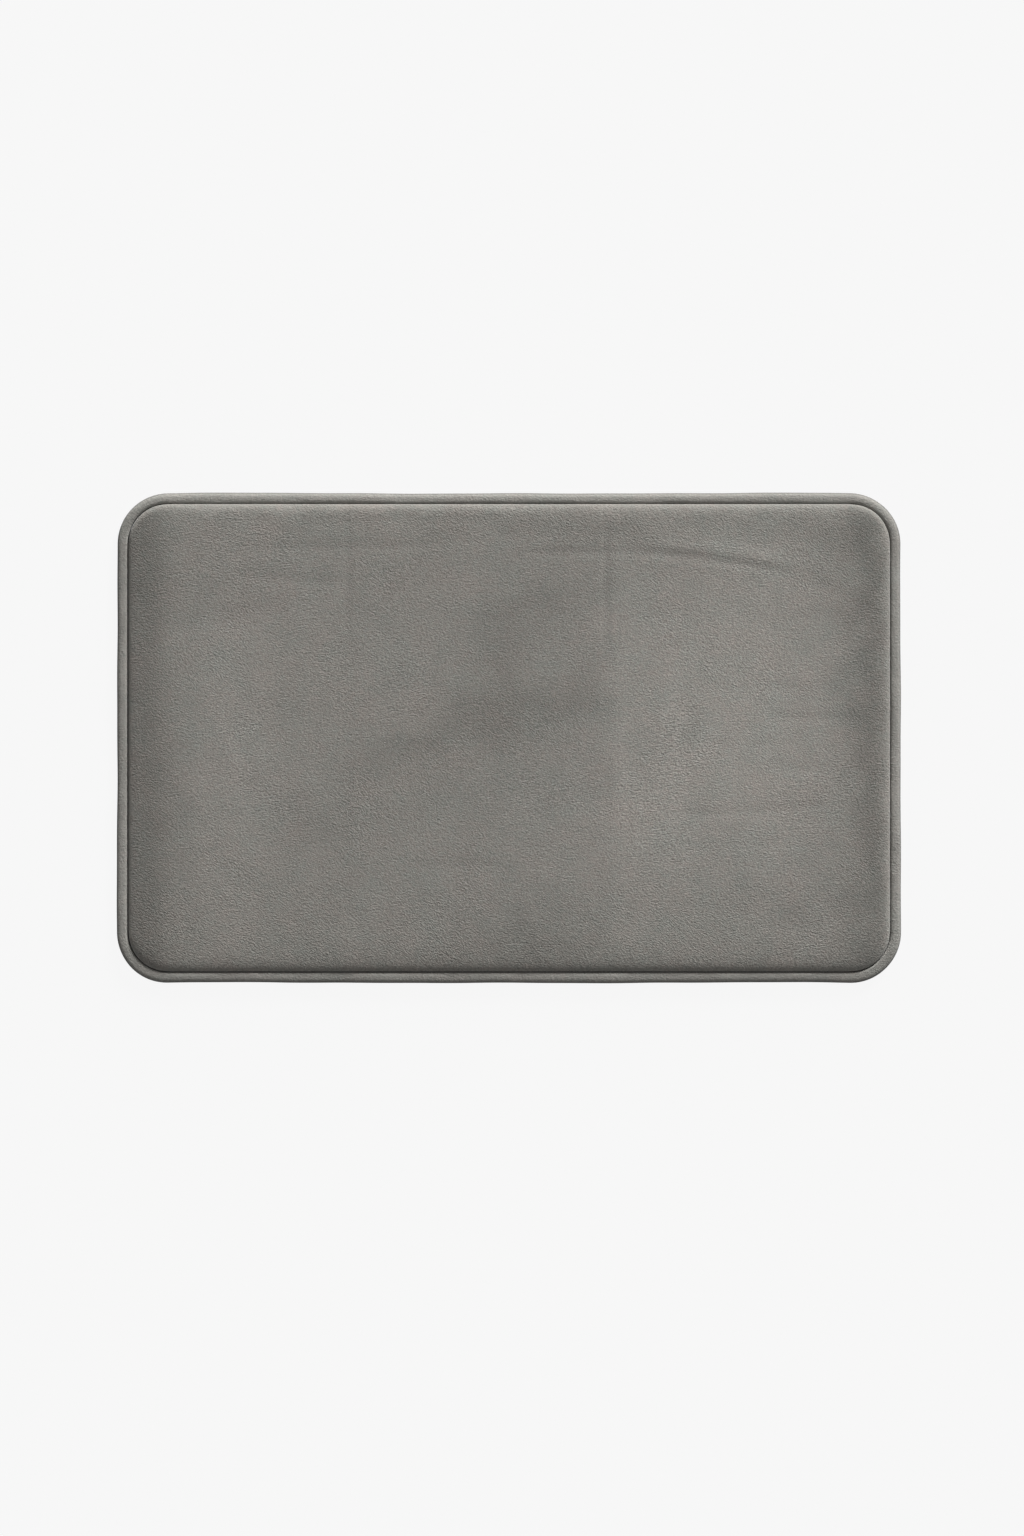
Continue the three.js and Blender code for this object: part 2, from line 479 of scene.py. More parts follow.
def settling_cloth(cover, held):
    """A copy of the cover as loose cloth, pinned where it is held."""
    loose = place("settling_cloth", cover.data.copy())
    pins = loose.vertex_groups.new(name="pins")
    for index, weight in enumerate(held):
        pins.add([index], float(weight), "REPLACE")
    cloth = loose.modifiers.new("cloth", "CLOTH")
    for setting, value in CLOTH.items():
        setattr(cloth.settings, setting, value)
    cloth.settings.vertex_group_mass = "pins"
    cloth.settings.effector_weights.gravity = PULL_OF_GRAVITY
    cloth.collision_settings.distance_min = CLOTH_GAP
    cloth.point_cache.frame_start = 1
    cloth.point_cache.frame_end = SETTLE_FRAMES
    return loose


def settle_cloth(cover):
    """Lets the cover, cut slightly too large, settle on the foam while its sewn edge is held. What the
    simulation moves is kept within a small limit, so that the panel keeps its size."""
    target = vertex_array(cover.data)
    held = np.clip((FREE_FROM - target[:, 2]) / (FREE_FROM - HELD_TO), 0, 1)
    bed = settling_bed(cover)
    loose = settling_cloth(cover, held)
    for step in range(1, SETTLE_FRAMES + 1):
        bpy.context.scene.frame_set(step)
    depsgraph = bpy.context.evaluated_depsgraph_get()
    moved = vertex_array(loose.evaluated_get(depsgraph).data) - target
    bpy.context.scene.frame_set(1)
    for thing in (loose, bed):
        mesh = thing.data
        bpy.data.objects.remove(thing)
        bpy.data.meshes.remove(mesh)

    on_top = target[:, 2] > target[:, 2].max() - TOP_BAND
    moved[:, 2] -= np.median(moved[on_top, 2])
    for _ in range(SMOOTHING_PASSES):
        moved = smoothed(cover.data, moved)
    distance = np.maximum(np.linalg.norm(moved, axis=1, keepdims=True), NO_DISTANCE)
    stiller = STILLER_SHARE * smooth_step(*STILLER_INSETS, edge_inset(target))
    share = (1 - held) * (1 - stiller)
    moved *= share[:, None] * SETTLE_LIMIT * np.tanh(distance / SETTLE_LIMIT) / distance
    set_vertices(cover.data, target + moved)


def plush_panel():
    """The plush over the padding: settled, creased, brushed, given painted shade and highlights, and as
    thick as its cloth.
    """
    cover = piece("plush_panel", *rounded_grid(COVER_SECTION, PANEL_SPACING))
    settle_cloth(cover)
    cover.modifiers.new("fine", "SUBSURF").levels = 1
    apply_modifiers(cover)
    points = vertex_array(cover.data)
    depth, light = pile_of(points)
    inset = edge_inset(points)
    points[:, 2] -= depth * smooth_step(*CREASE_EDGE, inset)
    set_vertices(cover.data, points + [PANEL_STRAY, PANEL_STRAY, 0])
    light *= smooth_step(*BRUSHED_EDGE, inset)
    # Painted shade on the pile low in the ditch.
    light -= PANEL_DITCH_SHADE * (1 - smooth_step(*DITCH_HEIGHTS, points[:, 2]))
    store(cover, "pile_tone_and_shade", light)
    thicken(cover, PLUSH_THICKNESS)
    return cover


# -------------------- the rolled rim

RIM_WIDTH = 11 * MM
RIM_WALL = 1.8 * MM
RIM_STEPS = 32
HOLLOW_STEPS = 16
# The tape's two plies, with the slit between them, and the insets of its points.
TAPE_LOW, TAPE_HIGH = 1.8 * MM, 3.3 * MM
SLIT_LOW, SLIT_HIGH = 2.4 * MM, 2.7 * MM
TAPE_POINTS = [12.2 * MM, 14.4 * MM, 16.5 * MM]
# How square the tube is (2 is an oval), and how far its top leans inwards, growing with the height.
RIM_POWER = 2.7
HOLLOW_POWER = 2
RIM_LEAN = 0.7 * MM
LEAN_POWER = 1.5
# How the tube strays sideways and swells along the edge: height or share, turns round the mat, phase.
RIM_STRAY = [(0.34 * MM, 5, 0.6), (0.26 * MM, 9, 2.1), (0.15 * MM, 17, 4.0), (0.10 * MM, 31, 1.3)]
RIM_SWELL = [(0.020, 13, 0.2), (0.016, 23, 1.9), (0.012, 41, 3.3), (0.010, 67, 5.0)]
# How far the tube bulges over the ditch between two stitches, and the insets and heights over which the
# bulge grows.
RIM_BULGE = 0.34 * MM
BULGE_INSETS = (7 * MM, 10 * MM)
BULGE_HEIGHTS = (3.4 * MM, 5 * MM)
# The insets over which the tube goes from free to held by the seam.
RIM_HELD_INSETS = (8 * MM, RIM_WIDTH)
# Painted light and shade on the rim's pile, by how far in it is: a painted highlight where the rim rises
# from the ditch, painted shade in the ditch, and painted shade round the outside, more on its upper half.
HIGHLIGHT_INSETS, PAINTED_HIGHLIGHT = (8.6 * MM, 10.0 * MM), 0.22
RIM_DITCH_EDGE, RIM_DITCH_SHADE = (10.5 * MM, 11.0 * MM), 0.8
OUTSIDE_EDGE, OUTSIDE_SHADE, OUTSIDE_TOP_SHADE = (0.8 * MM, 2.0 * MM), 0.14, 0.40
UPPER_HALF = (5 * MM, 8 * MM)
# The rim's pile is painted lighter on its +X and +Y sides, which face the lamps, and darker on the sides
# away from them. It is darker along both ends, and its painted highlight is stronger along the near side.
LAMP_SIDE_LIGHT = np.array([0.037, 0.085])
ENDS_DARKER = 0.07
NEAR_SIDE_HIGHLIGHT = 0.38


def signed_power(value, power):
    """A power of the value's size, with the value's own sign."""
    return math.copysign(abs(value) ** power, value)


def oval_arc(half_width, half_height, power, first_height, last_height, steps, clockwise):
    """Points on an oval about the rim's middle, from the inner side at one height, the long way round,
    to the inner side at another height. A power over 2 makes the oval flatter on its four sides."""
    start, end = (
        math.asin(signed_power((height - RIM_MIDDLE) / half_height, power / 2))
        for height in (first_height, last_height)
    )
    end += -2 * math.pi if clockwise else 2 * math.pi
    arc = []
    for k in range(steps + 1):
        angle = start + (end - start) * k / steps
        across = half_width * signed_power(math.cos(angle), 2 / power)
        rise = half_height * signed_power(math.sin(angle), 2 / power)
        arc.append((RIM_WIDTH / 2 + across, RIM_MIDDLE + rise))
    return arc


def rim_section():
    """The rim's closed section: a tube of plush, slit between the two plies of the tape that runs from
    it into the seam."""
    half_width = RIM_WIDTH / 2
    half_height = (RIM_TOP - RIM_BOTTOM) / 2
    outside = oval_arc(half_width, half_height, RIM_POWER, TAPE_LOW, TAPE_HIGH, RIM_STEPS, True)
    hollow_width, hollow_height = half_width - RIM_WALL, half_height - RIM_WALL
    inside = oval_arc(
        hollow_width, hollow_height, HOLLOW_POWER, SLIT_HIGH, SLIT_LOW, HOLLOW_STEPS, False
    )
    outside = [(s + RIM_LEAN * max(0, h / RIM_MIDDLE - 1) ** LEAN_POWER, h) for s, h in outside]
    upper = [(s, TAPE_HIGH) for s in TAPE_POINTS] + [(s, SLIT_HIGH) for s in reversed(TAPE_POINTS)]
    lower = [(s, SLIT_LOW) for s in TAPE_POINTS] + [(s, TAPE_LOW) for s in reversed(TAPE_POINTS)]
    return np.array(outside + upper + inside + lower)


def rim_light(section, outward):
    """How light the rim's pile looks at each point of its section, for each place along the edge, with
    its painted highlights and painted shade.
    """
    inset, height = section.T
    highlit = smooth_step(*HIGHLIGHT_INSETS, inset)
    outside = 1 - smooth_step(*OUTSIDE_EDGE, inset)
    upper = smooth_step(*UPPER_HALF, height)
    # A painted highlight where the rim rises from the ditch, painted shade in the ditch and round the
    # outside.
    across = PAINTED_HIGHLIGHT * highlit - RIM_DITCH_SHADE * smooth_step(*RIM_DITCH_EDGE, inset)
    across -= (OUTSIDE_SHADE + OUTSIDE_TOP_SHADE * upper) * outside
    # Painted light on the sides that face the lamps and painted shade on the others; darker along both
    # ends.
    along = outward @ LAMP_SIDE_LIGHT - ENDS_DARKER * np.abs(outward[:, 0])
    # A stronger painted highlight along the near side.
    near_side = NEAR_SIDE_HIGHLIGHT * np.maximum(-outward[:, 1], 0)
    return across[None, :] + along[:, None] + near_side[:, None] * highlit[None, :]


def rolled_rim():
    """The piping: a tube that wanders a little, swells between the stitches and is pinched at them."""
    points, outward, walked, around = outline_walk(STITCH_PITCH / 2)
    section = rim_section()
    inset, height = section.T
    stray = waves(walked, around, RIM_STRAY)
    swell = waves(walked, around, RIM_SWELL)
    bulge = RIM_BULGE * np.sin(math.pi * walked / STITCH_PITCH) ** 2
    loose = 1 - smooth_step(*RIM_HELD_INSETS, inset)
    over_ditch = smooth_step(*BULGE_INSETS, inset) * smooth_step(*BULGE_HEIGHTS, height)
    rings = []
    for place, point in enumerate(points):
        ring_height = height + (height - RIM_BOTTOM) * swell[place] * loose
        ring_inset = inset - stray[place] * loose + bulge[place] * over_ditch
        across = point[None, :] - outward[place][None, :] * ring_inset[:, None]
        rings.append(np.column_stack([across, ring_height]))
    rim = piece("rolled_rim", np.concatenate(rings), sweep_faces(len(rings), len(section), True))
    store(rim, "pile_tone_and_shade", rim_light(section, outward).ravel())
    return rim


# -------------------- stitches

THREAD_RADIUS = 0.3 * MM
STITCH_SIDES = 6
# Along half a stitch, from its end to its middle: how far from the middle, as a share of half its
# length, how thick, and how far sunk, both as shares of the thread's radius.
HALF_STITCH = [(1.0, 0.35, 1.0), (0.8, 0.9, 0.45), (0.35, 1.0, 0.05)]
STITCH_SHAPE = [(-share, thick, sunk) for share, thick, sunk in HALF_STITCH] + HALF_STITCH[::-1]
# The length of a stitch as a share of the pitch, and how far it lies inside the thread's place in the
# CAD model, which is the ditch's outer side.
STITCH_SHARE = 0.86
STITCH_INWARDS = 0.4 * MM
DITCH_STITCH_HEIGHT = LIP_TOP + 0.2 * MM
BOBBIN_STITCH_HEIGHT = BASE_BOTTOM - 0.15 * MM


def add_stitch(vertices, faces, middle, along, length, rise):
    """One stitch: a short soft length of thread whose ends dip into the cloth. rise is +1 on top of
    the cloth and -1 under it."""
    aside = np.array([-along[1], along[0], 0.0])
    up = np.array([0.0, 0.0, 1.0])
    first = len(vertices)
    for share, thick, sunk in STITCH_SHAPE:
        at = middle + along * share * length / 2 - up * rise * sunk * THREAD_RADIUS
        for k in range(STITCH_SIDES):
            angle = 2 * math.pi * k / STITCH_SIDES
            radial = aside * math.cos(angle) + up * math.sin(angle)
            vertices.append(at + radial * THREAD_RADIUS * thick)
    rings = len(STITCH_SHAPE)
    side = sweep_faces(rings, STITCH_SIDES, False)
    faces += [tuple(first + k for k in reversed(face)) for face in side]
    faces.append(tuple(first + k for k in reversed(range(STITCH_SIDES))))
    end = first + (rings - 1) * STITCH_SIDES
    faces.append(tuple(end + k for k in range(STITCH_SIDES)))


def stitch_line(name, height, rise):
    """The row of stitches that runs round the mat in the seam."""
    points, outward = outline_walk(STITCH_PITCH)[:2]
    inset = THREAD_INSET + STITCH_INWARDS
    vertices, faces = [], []
    for point, facing in zip(points, outward):
        middle = np.append(point - facing * inset, height)
        along = np.array([-facing[1], facing[0], 0.0])
        add_stitch(vertices, faces, middle, along, STITCH_PITCH * STITCH_SHARE, rise)
    return piece(name, vertices, faces)


# -------------------- the underside

# The base cloth from its edge inwards, in millimetres: inset, and how far it is drawn up.
BASE_SPACING = 9 * MM
BASE_SHAPE = [(BASE_INSET / MM, 0.25), (11.2, 0.1)]
BASE_SHAPE += [(inset, 0) for inset in (12, 13.5, 18, 26, 38, 52)]
BASE_SLACK = 0.1 * MM
GRIP_PITCH = 9 * MM
GRIP_SIDES = 8
# A dot from the cloth down: the radius and the height above the floor of each ring of points.
GRIP_SHAPE = [(1.65 * MM, 0.75 * MM), (1.25 * MM, 0.18 * MM)]
LABEL_MARGIN = 2.2 * MM
# The label's two plies with the gap between them, its nose where it is folded, how many noses before its
# end its faces stop being flat, and how far it curls, in a wave of so many radians across it.
LABEL_PLY = 0.16 * MM
LABEL_GAP = 0.1 * MM
LABEL_NOSE = 0.5 * MM
FLAT_TO_NOSES = 4
NOSE_STEPS = 7
LABEL_LENGTH_STEPS = 9
LABEL_WIDTH_STEPS = 13
LABEL_CURL = 0.06 * MM
CURL_ANGLE = 9
BAR_STITCHES = 9
BAR_FROM_END = 2.5 * MM
BAR_STITCH_LENGTH = 2.8 * MM


def base_sheet():
    """The cloth that closes the underside, drawn up a little along its seam."""
    section = [(inset, BASE_BOTTOM / MM + drawn_up) for inset, drawn_up in BASE_SHAPE]
    sheet = piece("base_sheet", *rounded_grid(section, BASE_SPACING))
    for polygon in sheet.data.polygons:
        polygon.flip()
    sheet.data.update()
    thicken(sheet, BASE_TOP - BASE_BOTTOM - BASE_SLACK)
    return sheet


def over_label(x, y):
    """Whether a dot at this place would touch the label."""
    return (
        LABEL_LOW.x - LABEL_MARGIN < x < LABEL_HIGH.x + LABEL_MARGIN
        and LABEL_LOW.y - LABEL_MARGIN < y < LABEL_HIGH.y + LABEL_MARGIN
    )


def dot_places():
    """The centres of the dots, staggered row by row, clear of the seam and the label."""
    row_step = GRIP_PITCH * math.sqrt(3) / 2
    rows = int(2 * HALF_WIDTH / row_step)
    columns = int(2 * HALF_LENGTH / GRIP_PITCH)
    widest = GRIP_SHAPE[0][0]
    for row in range(-rows // 2, rows // 2 + 1):
        for column in range(-columns // 2, columns // 2 + 1):
            x = (column + row % 2 / 2) * GRIP_PITCH
            y = row * row_step
            if edge_inset(np.array([[x, y]]))[0] >= GRIP_INSET + widest and not over_label(x, y):
                yield x, y


def grip_dots():
    """The printed dots, which the mat stands on: domes with their tips on the floor."""
    vertices, faces = [], []
    side = sweep_faces(len(GRIP_SHAPE), GRIP_SIDES, False)
    for x, y in dot_places():
        first = len(vertices)
        for radius, height in GRIP_SHAPE:
            for k in range(GRIP_SIDES):
                angle = 2 * math.pi * k / GRIP_SIDES
                vertices.append((x + radius * math.cos(angle), y + radius * math.sin(angle), height))
        tip, last = len(vertices), len(vertices) - GRIP_SIDES
        vertices.append((x, y, 0.0))
        faces += [tuple(first + k for k in face) for face in side]
        faces += [(last + (k + 1) % GRIP_SIDES, last + k, tip) for k in range(GRIP_SIDES)]
        faces.append(tuple(first + k for k in range(GRIP_SIDES)))
    return piece("grip_dots", vertices, faces)


def label_section():
    """The folded tape from the side, as places along it and heights: out along the lower face, round the
    nose, back along the upper face, and the same again inside."""
    low, high = LABEL_LOW.z, LABEL_HIGH.z
    sewn, free = LABEL_LOW.y, LABEL_HIGH.y
    middle = (low + high) / 2
    nose = [
        (free - LABEL_NOSE + LABEL_NOSE * math.sin(turn), middle - (middle - low) * math.cos(turn))
        for turn in np.linspace(0, math.pi, NOSE_STEPS)
    ]
    runs = np.linspace(sewn, free - FLAT_TO_NOSES * LABEL_NOSE, LABEL_LENGTH_STEPS)
    outside = [(y, low) for y in runs] + nose + [(y, high) for y in reversed(runs)]
    inside = [(y, high - LABEL_PLY) for y in runs] + [(free - LABEL_NOSE - LABEL_GAP, middle)]
    inside += [(y, low + LABEL_PLY) for y in reversed(runs)]
    return np.array(outside + inside)


def care_label():
    """A blank woven tape, folded over at its free end, with both ends in the seam."""
    section = label_section()
    along, height = section.T
    rings = []
    for x in np.linspace(LABEL_LOW.x, LABEL_HIGH.x, LABEL_WIDTH_STEPS):
        curl = LABEL_CURL * math.sin(CURL_ANGLE * x / (LABEL_HIGH.x - LABEL_LOW.x))
        lifted = height + curl * smooth_step(LABEL_LOW.y, LABEL_HIGH.y, along)
        rings.append(np.column_stack([np.full(len(section), x), along, lifted]))
    faces = [tuple(reversed(face)) for face in sweep_faces(len(rings), len(section), False)]
    faces.append(tuple(reversed(range(len(section)))))
    last = (len(rings) - 1) * len(section)
    faces.append(tuple(last + k for k in range(len(section))))
    return piece("folded_label", np.concatenate(rings), faces)


def label_stitches():
    """The short row of stitches that holds the label's end."""
    vertices, faces = [], []
    along = np.array([1.0, 0.0, 0.0])
    for k in range(BAR_STITCHES):
        x = LABEL_LOW.x + (LABEL_HIGH.x - LABEL_LOW.x) * (k + 0.5) / BAR_STITCHES
        middle = np.array([x, LABEL_LOW.y + BAR_FROM_END, LABEL_LOW.z])
        add_stitch(vertices, faces, middle, along, BAR_STITCH_LENGTH, -1)
    return piece("label_stitches", vertices, faces)


# -------------------- materials

# Colours. A pair is what a plush drifts between, or a weave's darker and lighter threads.
PANEL_GREYS = [(0.186, 0.171, 0.155, 1), (0.168, 0.168, 0.153, 1)]
RIM_GREYS = [(0.213, 0.201, 0.185, 1), (0.198, 0.198, 0.182, 1)]
THREAD_GREY = (0.15, 0.145, 0.133, 1)
BASE_GREYS = [(0.30, 0.295, 0.28, 1), (0.47, 0.465, 0.45, 1)]
TAPE_WHITES = [(0.70, 0.69, 0.66, 1), (0.86, 0.85, 0.82, 1)]
GRIP_WHITE = (0.58, 0.58, 0.56, 1)
FOAM_CREAM = (0.77, 0.72, 0.55, 1)
SPONGE_WHITE = (0.68, 0.67, 0.62, 1)
COTTON_CREAM = (0.69, 0.66, 0.58, 1)

# The middle range of a noise texture, where most of its values lie.
NOISE_LOW, NOISE_HIGH = 0.3, 0.7
# A wave texture of scale 1 repeats after this length along X or Y.
WAVE_LENGTH = math.pi / 10


def fresh_tree(owner):
    """The empty node tree of a material or a world."""
    owner.use_nodes = True
    owner.node_tree.nodes.clear()
    return owner.node_tree


def put(socket, value):
    """Links a node's input to another node, or sets its value."""
    if isinstance(value, bpy.types.NodeSocket):
        socket.id_data.links.new(value, socket)
    else:
        socket.default_value = value


def add_node(tree, kind, inputs=(), **settings):
    """A new node with its settings, whose inputs are given by name or number."""
    node = tree.nodes.new(kind)
    for key, value in settings.items():
        setattr(node, key, value)
    for key, value in dict(inputs).items():
        put(node.inputs[key], value)
    return node


class Shader:
    """A node material being built: short calls that return sockets."""

    def __init__(self, name, roughness, sheen=0.0, sheen_roughness=0.5, specular=0.3):
        self.material = bpy.data.materials.new(name)
        self.tree = fresh_tree(self.material)
        constants = {
            "Roughness": roughness,
            "Sheen Weight": sheen,
            "Sheen Roughness": sheen_roughness,
            "Specular IOR Level": specular,
        }
        self.surface = self.add("ShaderNodeBsdfPrincipled", constants)
        self.add("ShaderNodeOutputMaterial", {"Surface": self.surface.outputs["BSDF"]})
        self.place = self.add("ShaderNodeTexCoord").outputs["Object"]

    def add(self, kind, inputs=(), **settings):
        return add_node(self.tree, kind, inputs, **settings)

    def turned(self, scale, turn=0):
        """The object's coordinates, turned by degrees about Z and stretched, so that a pattern has a
        grain."""
        turning = {"Vector": self.place, "Rotation": (0, 0, math.radians(turn))}
        turned = self.add("ShaderNodeVectorRotate", turning, rotation_type="EULER_XYZ").outputs[0]
        return self.add("ShaderNodeVectorMath", {0: turned, 1: scale}, operation="MULTIPLY").outputs[0]

    def noise(self, scale, detail=2.0, at=None, distortion=0.0):
        """Soft noise, from about 0 to 1, with scale features to the metre."""
        at = self.place if at is None else at
        inputs = {"Vector": at, "Scale": scale, "Detail": detail, "Distortion": distortion}
        return self.add("ShaderNodeTexNoise", inputs).outputs["Fac"]

    def wave(self, direction, pitch, distortion, detail):
        """Even bands, one for each pitch, that run a little unevenly."""
        scale = WAVE_LENGTH / pitch
        inputs = {"Vector": self.place, "Scale": scale, "Distortion": distortion, "Detail": detail}
        return self.add("ShaderNodeTexWave", inputs, bands_direction=direction).outputs["Fac"]

    def math(self, operation, a, b=0.0, c=0.0):
        return self.add("ShaderNodeMath", {0: a, 1: b, 2: c}, operation=operation).outputs[0]

    def product(self, *levels):
        total = levels[0]
        for level in levels[1:]:
            total = self.math("MULTIPLY", total, level)
        return total

    def spread(self, value, low, high):
        """Maps the middle range of a noise onto low to high."""
        inputs = {"From Min": NOISE_LOW, "From Max": NOISE_HIGH, "To Min": low, "To Max": high}
        return self.add("ShaderNodeMapRange", {"Value": value, **inputs}).outputs["Result"]

    def vary(self, value, amount):
        """A brightness that goes up and down with a noise, by a share of itself."""
        return self.spread(value, 1 - amount, 1 + amount)

    def between(self, share, first, second, kind="FLOAT"):
        """A number, or a colour if kind is RGBA, between two others."""
        inputs = {"Factor": share, "A": first, "B": second}
        return self.add("ShaderNodeMix", inputs, data_type=kind).outputs["Result"]

    def dim(self, colour, level):
        """A colour made lighter or darker by a number."""
        if not isinstance(colour, bpy.types.NodeSocket):
            colour = colour[:3]
        inputs = {0: colour, "Scale": level}
        return self.add("ShaderNodeVectorMath", inputs, operation="SCALE").outputs[0]

    def relief(self, height, distance, strength=1.0):
        """Gives the surface its bumps."""
        bumps = self.add("ShaderNodeBump", {"Height": height, "Distance": distance, "Strength": strength})
        put(self.surface.inputs["Normal"], bumps.outputs["Normal"])

    def finish(self, colour, roughness=None):
        put(self.surface.inputs["Base Color"], colour)
        if roughness is not None:
            put(self.surface.inputs["Roughness"], roughness)
        return self.material


# Below, a noise is given as its features to the metre and its detail.
#
# The plush. How much longer than wide a clump of pile is, the detail of its shape, how far its outline
# strays, the two directions that the clumps drift between, in degrees, and the noise that they drift by.
CLUMP_SLIMNESS = 1.5
CLUMP_DETAIL = 1.8
CLUMP_DISTORTION = 0.6
CLUMP_TURNS = (32, -8)
CLUMP_DRIFT = (9, 1)
# The fibres between the clumps, how much they vary the brightness, and their share of the relief.
FIBRES = (1700, 2)
FIBRE_CONTRAST = 0.09
FIBRE_RELIEF = 0.12
# Slower changes of brightness: each one's noise and how much it changes.
SHADE_DRIFTS = [((42, 4), 0.035), ((9, 2), 0.03)]
# The noises that the tint drifts by, the turn of the first in degrees, and the range that the tint
# covers between its two colours.
TINT_PATCHES, TINT_TURN = (34, 3), 50
TINT_SPECKS = (190, 2)
TINT_RANGE = (-0.15, 1.15)
# The roughness of a clump's hollows and of its top.
PLUSH_ROUGHNESS = (0.95, 0.8)


def pile_clumps(shader, length):
    """Small lengthwise clumps of pile, whose direction drifts over the cloth."""
    scale = (1 / length, CLUMP_SLIMNESS / length, CLUMP_SLIMNESS / length)
    grains = [
        shader.noise(1.0, CLUMP_DETAIL, at=shader.turned(scale, turn), distortion=CLUMP_DISTORTION)
        for turn in CLUMP_TURNS
    ]
    drift = shader.spread(shader.noise(*CLUMP_DRIFT), low=0.0, high=1.0)
    return shader.between(drift, *grains)


def pile_tint(shader, colours):
    """A colour that drifts between two, in soft patches with small specks."""
    patches = shader.noise(*TINT_PATCHES, at=shader.turned((1, 1, 1), TINT_TURN))
    specks = shader.noise(*TINT_SPECKS)
    mean = shader.math("MULTIPLY", shader.math("ADD", patches, specks), 1 / 2)
    return shader.between(shader.spread(mean, *TINT_RANGE), *colours, kind="RGBA")


def plush_material(name, colours, clump, contrast, depth):
    """Short dense pile: clumps, fine fibres between them, a slight drift of tint, and the brushed
    patches, painted shade and painted highlights that the mesh carries. clump is a clump's length and
    depth the height of its relief."""
    shader = Shader(name, roughness=0.9, sheen=0.25, sheen_roughness=0.45, specular=0.1)
    clumps = pile_clumps(shader, clump)
    fibres = shader.noise(*FIBRES)
    drifts = [shader.vary(shader.noise(*noise), amount) for noise, amount in SHADE_DRIFTS]
    # The brushed patches together with the painted shade and highlights that the mesh carries.
    brushed_and_shade = shader.add("ShaderNodeAttribute", attribute_name="pile_tone_and_shade").outputs["Fac"]
    brightness = shader.product(
        shader.vary(clumps, contrast),
        shader.vary(fibres, FIBRE_CONTRAST),
        *drifts,
        shader.math("ADD", brushed_and_shade, 1.0),
    )
    shader.relief(shader.math("MULTIPLY_ADD", fibres, FIBRE_RELIEF, clumps), depth)
    colour = shader.dim(pile_tint(shader, colours), brightness)
    return shader.finish(colour, roughness=shader.spread(clumps, *PLUSH_ROUGHNESS))


# Woven cloth: the stretch of the noise that makes slubs in its threads, the shares that slubs and weave
# have in its colour, and the noise and the range of its wear.
SLUB_STRETCH = (40, 900, 40)
SLUB_SHARE, WEAVE_SHARE = 0.5, 0.6
WEAR, WEAR_RANGE = (14, 4), (0.94, 1.04)


def woven_material(name, colours, pitch, roughness=0.85):
    """A plain weave of warp and weft, from its darker to its lighter colour, with threads that vary."""
    shader = Shader(name, roughness, sheen=0.1)
    threads = [shader.wave(direction, pitch, distortion=0.4, detail=1) for direction in ("X", "Y")]
    weave = shader.product(*threads)
    slubs = shader.noise(scale=1.0, at=shader.turned(SLUB_STRETCH))
    weave_part = shader.math("MULTIPLY", weave, WEAVE_SHARE)
    share = shader.math("MULTIPLY_ADD", slubs, SLUB_SHARE, weave_part)
    worn = shader.spread(shader.noise(*WEAR), *WEAR_RANGE)
    shader.relief(weave, distance=0.4 * MM, strength=0.7)
    return shader.finish(shader.dim(shader.between(share, *colours, kind="RGBA"), worn))


# Foam: how much of its hollows' shade shows, and the noise and the range of its ageing.
HOLLOW_SHARE = 0.9
AGEING, AGEING_RANGE = (16, 3), (0.93, 1.04)


def foam_material(name, colour, pore, hollow_shade):
    """Open-cell foam: rounded cells with darker hollows, on a colour that varies a little."""
    shader = Shader(name, roughness=0.95, sheen=0.15)
    cells = {"Vector": shader.place, "Scale": 1 / pore}
    hollow = shader.add("ShaderNodeTexVoronoi", cells, feature="SMOOTH_F1").outputs["Distance"]
    darker = tuple(hollow_shade * level for level in colour[:3]) + (1,)
    base = shader.between(shader.math("MULTIPLY", hollow, HOLLOW_SHARE), colour, darker, kind="RGBA")
    aged = shader.spread(shader.noise(*AGEING), *AGEING_RANGE)
    shader.relief(hollow, distance=0.8 * MM, strength=0.6)
    return shader.finish(shader.dim(base, aged))


# Thread: its fibres, how much they vary its brightness and their share of the relief, the brightness
# between its plies and how much more they have, and its range of roughness.
YARN_FIBRES = (2600, 2)
YARN_CONTRAST, YARN_RELIEF = 0.1, 0.3
PLY_GAP_LEVEL, PLY_LIGHTER = 0.82, 0.3
YARN_ROUGHNESS = (0.55, 0.75)


def thread_material(name, colour, twist):
    """Twisted yarn: slanting plies with fine fibres."""
    shader = Shader(name, roughness=0.6, sheen=0.2)
    plies = shader.wave("DIAGONAL", twist, distortion=0.8, detail=2)
    fibres = shader.noise(*YARN_FIBRES)
    ply_level = shader.math("MULTIPLY_ADD", plies, PLY_LIGHTER, PLY_GAP_LEVEL)
    level = shader.product(shader.vary(fibres, YARN_CONTRAST), ply_level)
    height = shader.math("MULTIPLY_ADD", fibres, YARN_RELIEF, plies)
    shader.relief(height, distance=0.2 * MM, strength=0.6)
    return shader.finish(shader.dim(colour, level), roughness=shader.spread(fibres, *YARN_ROUGHNESS))


# Rubber: the noise of its skin and how much it varies the brightness, and the noise of its clouds with
# their ranges of brightness and roughness.
SKIN, SKIN_CONTRAST = (1400, 3), 0.03
CLOUDS, CLOUD_RANGE = (55, 3), (0.94, 1.04)
CLOUD_ROUGHNESS = (0.42, 0.58)


